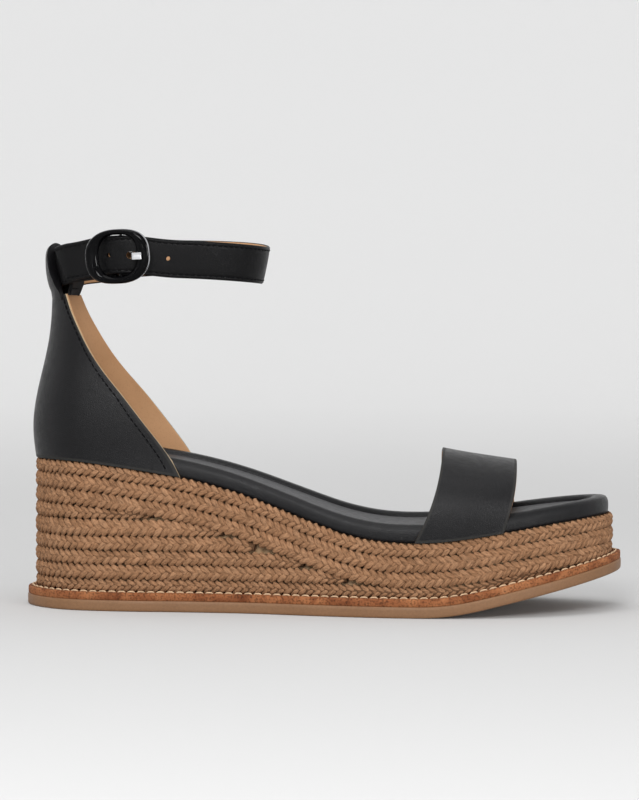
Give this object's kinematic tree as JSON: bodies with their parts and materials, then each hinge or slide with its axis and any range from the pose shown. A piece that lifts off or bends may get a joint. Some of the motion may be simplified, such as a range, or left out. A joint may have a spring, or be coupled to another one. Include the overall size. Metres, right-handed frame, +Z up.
{
  "type": "wedge sandal",
  "caption": "Espadrille wedge sandal with a black leather toe strap, a heel counter, a buckled ankle strap and a jute-wrapped wedge, for the right foot.",
  "frame": {"origin": "under the middle of the bounding box, on the ground", "axes": "+X towards the toe, +Y towards the inner side of the foot, +Z up; the buckle is on the -Y side"},
  "size_m": [0.253, 0.087, 0.1585],
  "materials": {
    "outsole_rubber": "smooth matt tan rubber",
    "welt_leather": "rough cut edge, burnt orange-tan with darker specks",
    "cream_thread": "waxed thick thread",
    "wedge_cork": "pressed cork, unfinished",
    "shank_steel": "plain spring steel",
    "jute_braid": "flat braid of jute, fuzzy and matt",
    "insole_fibreboard": "pressed fibreboard",
    "footbed_foam": "soft latex foam",
    "black_leather": "fine grained, soft sheen",
    "sock_leather": "smooth, dull charcoal",
    "tan_lining": "plain undyed lining, matt",
    "black_thread": "thin polyester thread",
    "black_enamel": "glossy black enamel",
    "prong_chrome": "polished"
  },
  "bodies": {
    "sole": {"outsole": "outsole_rubber", "welt": "welt_leather", "welt_stitches": "cream_thread", "wedge_core": "wedge_cork", "shank": "shank_steel", "shank_rivets": "shank_steel", "jute_row_1": "jute_braid", "jute_row_2": "jute_braid", "jute_row_3": "jute_braid", "jute_row_4": "jute_braid", "jute_row_5": "jute_braid", "jute_row_6": "jute_braid", "jute_row_7": "jute_braid", "jute_row_8": "jute_braid", "jute_row_9": "jute_braid", "insole_board": "insole_fibreboard", "footbed_foam": "footbed_foam", "footbed_cover": "black_leather", "sock_lining": "sock_leather", "vamp_outer": "black_leather", "vamp_lining": "tan_lining", "counter_outer": "black_leather", "counter_stiffener": "insole_fibreboard", "counter_lining": "tan_lining", "counter_thread": "black_thread"},
    "heel_tab": {"heel_tab": "black_leather", "heel_tab_patch": "black_leather", "heel_tab_thread": "black_thread"},
    "ankle_strap": {"ankle_strap_outer": "black_leather", "ankle_strap_lining": "tan_lining", "ankle_strap_thread": "black_thread", "buckle_loop": "black_leather"},
    "buckle": {"buckle_frame": "black_enamel", "buckle_bar": "shank_steel"},
    "prong": {"prong": "prong_chrome"}
  },
  "joints": [
    {"name": "tab_flex", "type": "hinge", "parent": "sole", "child": "heel_tab", "pos_m": [-0.114, 0, 0.1325], "axis": [0, 1, 0], "range_deg": [-6, 6], "stiffness_Nm_per_rad": 0.5},
    {"name": "strap_slip", "type": "hinge", "parent": "heel_tab", "child": "ankle_strap", "pos_m": [-0.0945, 0, 0.1424], "axis": [0, 0, 1], "range_deg": [0, 10]},
    {"name": "buckle_rock", "type": "hinge", "parent": "ankle_strap", "child": "buckle", "pos_m": [-0.08103, -0.02876, 0.14642], "axis": [0.0615, 0.0973, -0.9934], "range_deg": [-3, 3]},
    {"name": "prong_lift", "type": "hinge", "parent": "buckle", "child": "prong", "pos_m": [-0.08103, -0.02876, 0.14642], "axis": [0.0615, 0.0973, -0.9934], "range_deg": [0, 6]}
  ]
}
